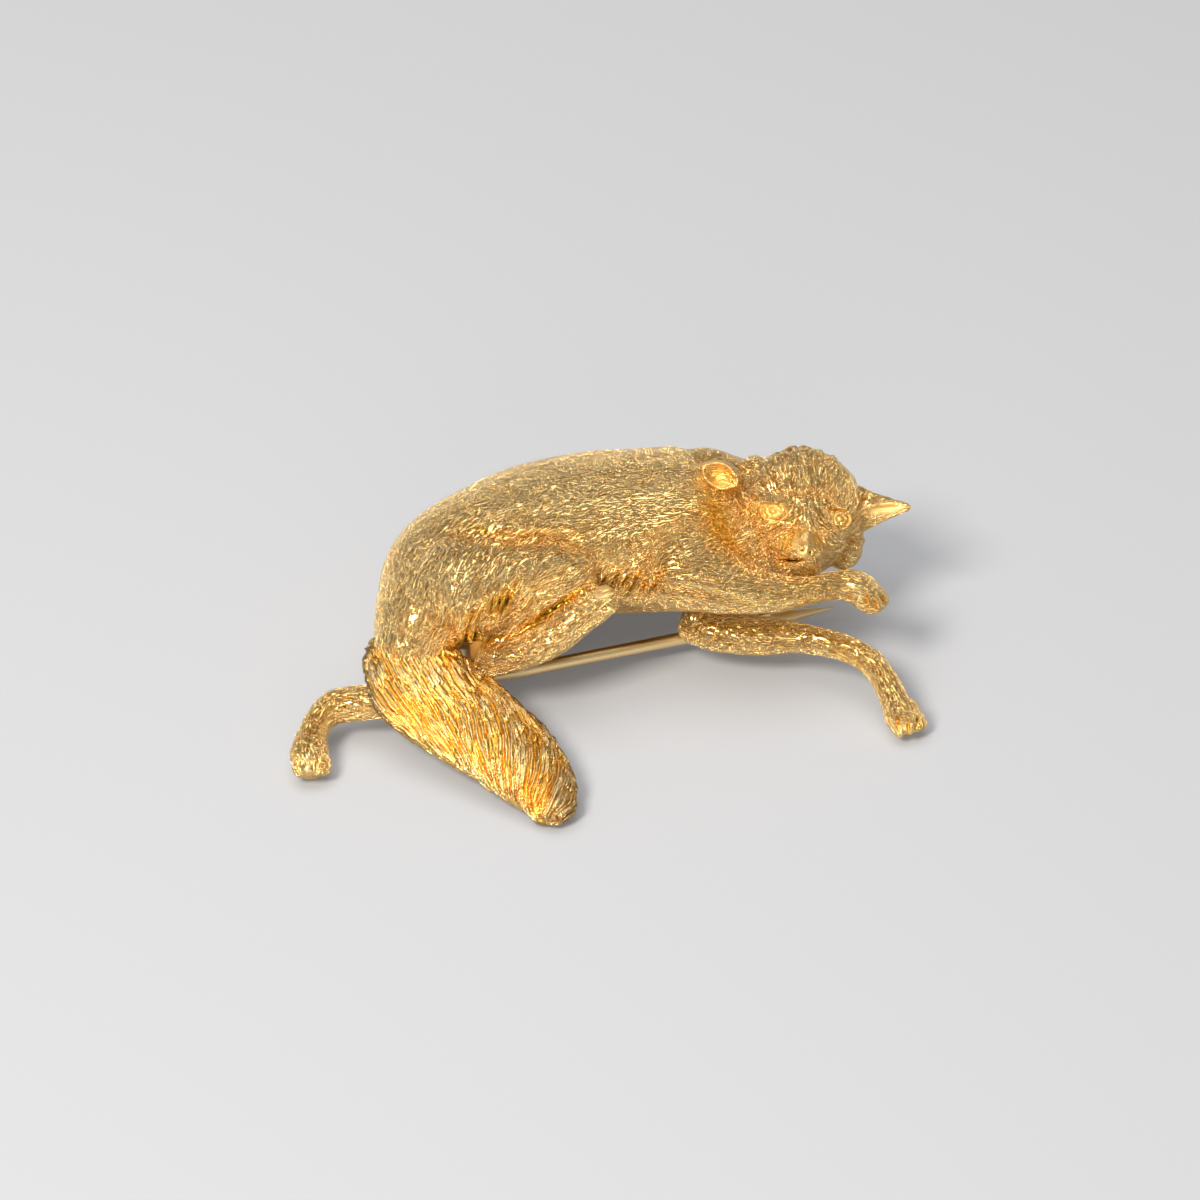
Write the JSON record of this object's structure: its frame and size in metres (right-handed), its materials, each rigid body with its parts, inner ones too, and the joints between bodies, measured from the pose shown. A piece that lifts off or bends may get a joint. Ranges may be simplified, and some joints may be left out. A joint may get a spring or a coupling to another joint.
{
  "type": "figural animal brooch",
  "caption": "Lying fox in chased gold with an open back, crossed by a hinged pin stem that ends in a catch.",
  "frame": {"origin": "middle of the figure's box, on the table that the open back lies on", "axes": "+X from the hind paw towards the front paws, +Y from the tip of the brush towards the line of the back, +Z out of the table, towards the side that shows when the brooch is worn"},
  "size_m": [0.049, 0.0366, 0.0149],
  "materials": {
    "textured_gold": "chased with short fur strokes, satin on the ridges",
    "polished_gold": "polished"
  },
  "bodies": {
    "brooch": {"fox_figure": "textured_gold", "hinge_bracket": "polished_gold", "hinge_rivet": "polished_gold", "catch_hook": "polished_gold"},
    "pin": {"pin_stem": "polished_gold"}
  },
  "joints": [
    {"name": "pin_hinge", "type": "hinge", "parent": "brooch", "child": "pin", "pos_m": [-0.01035, -0.00158, 0.00189], "axis": [-0.3239, 0.9461, 0], "range_deg": [0, 100]}
  ]
}
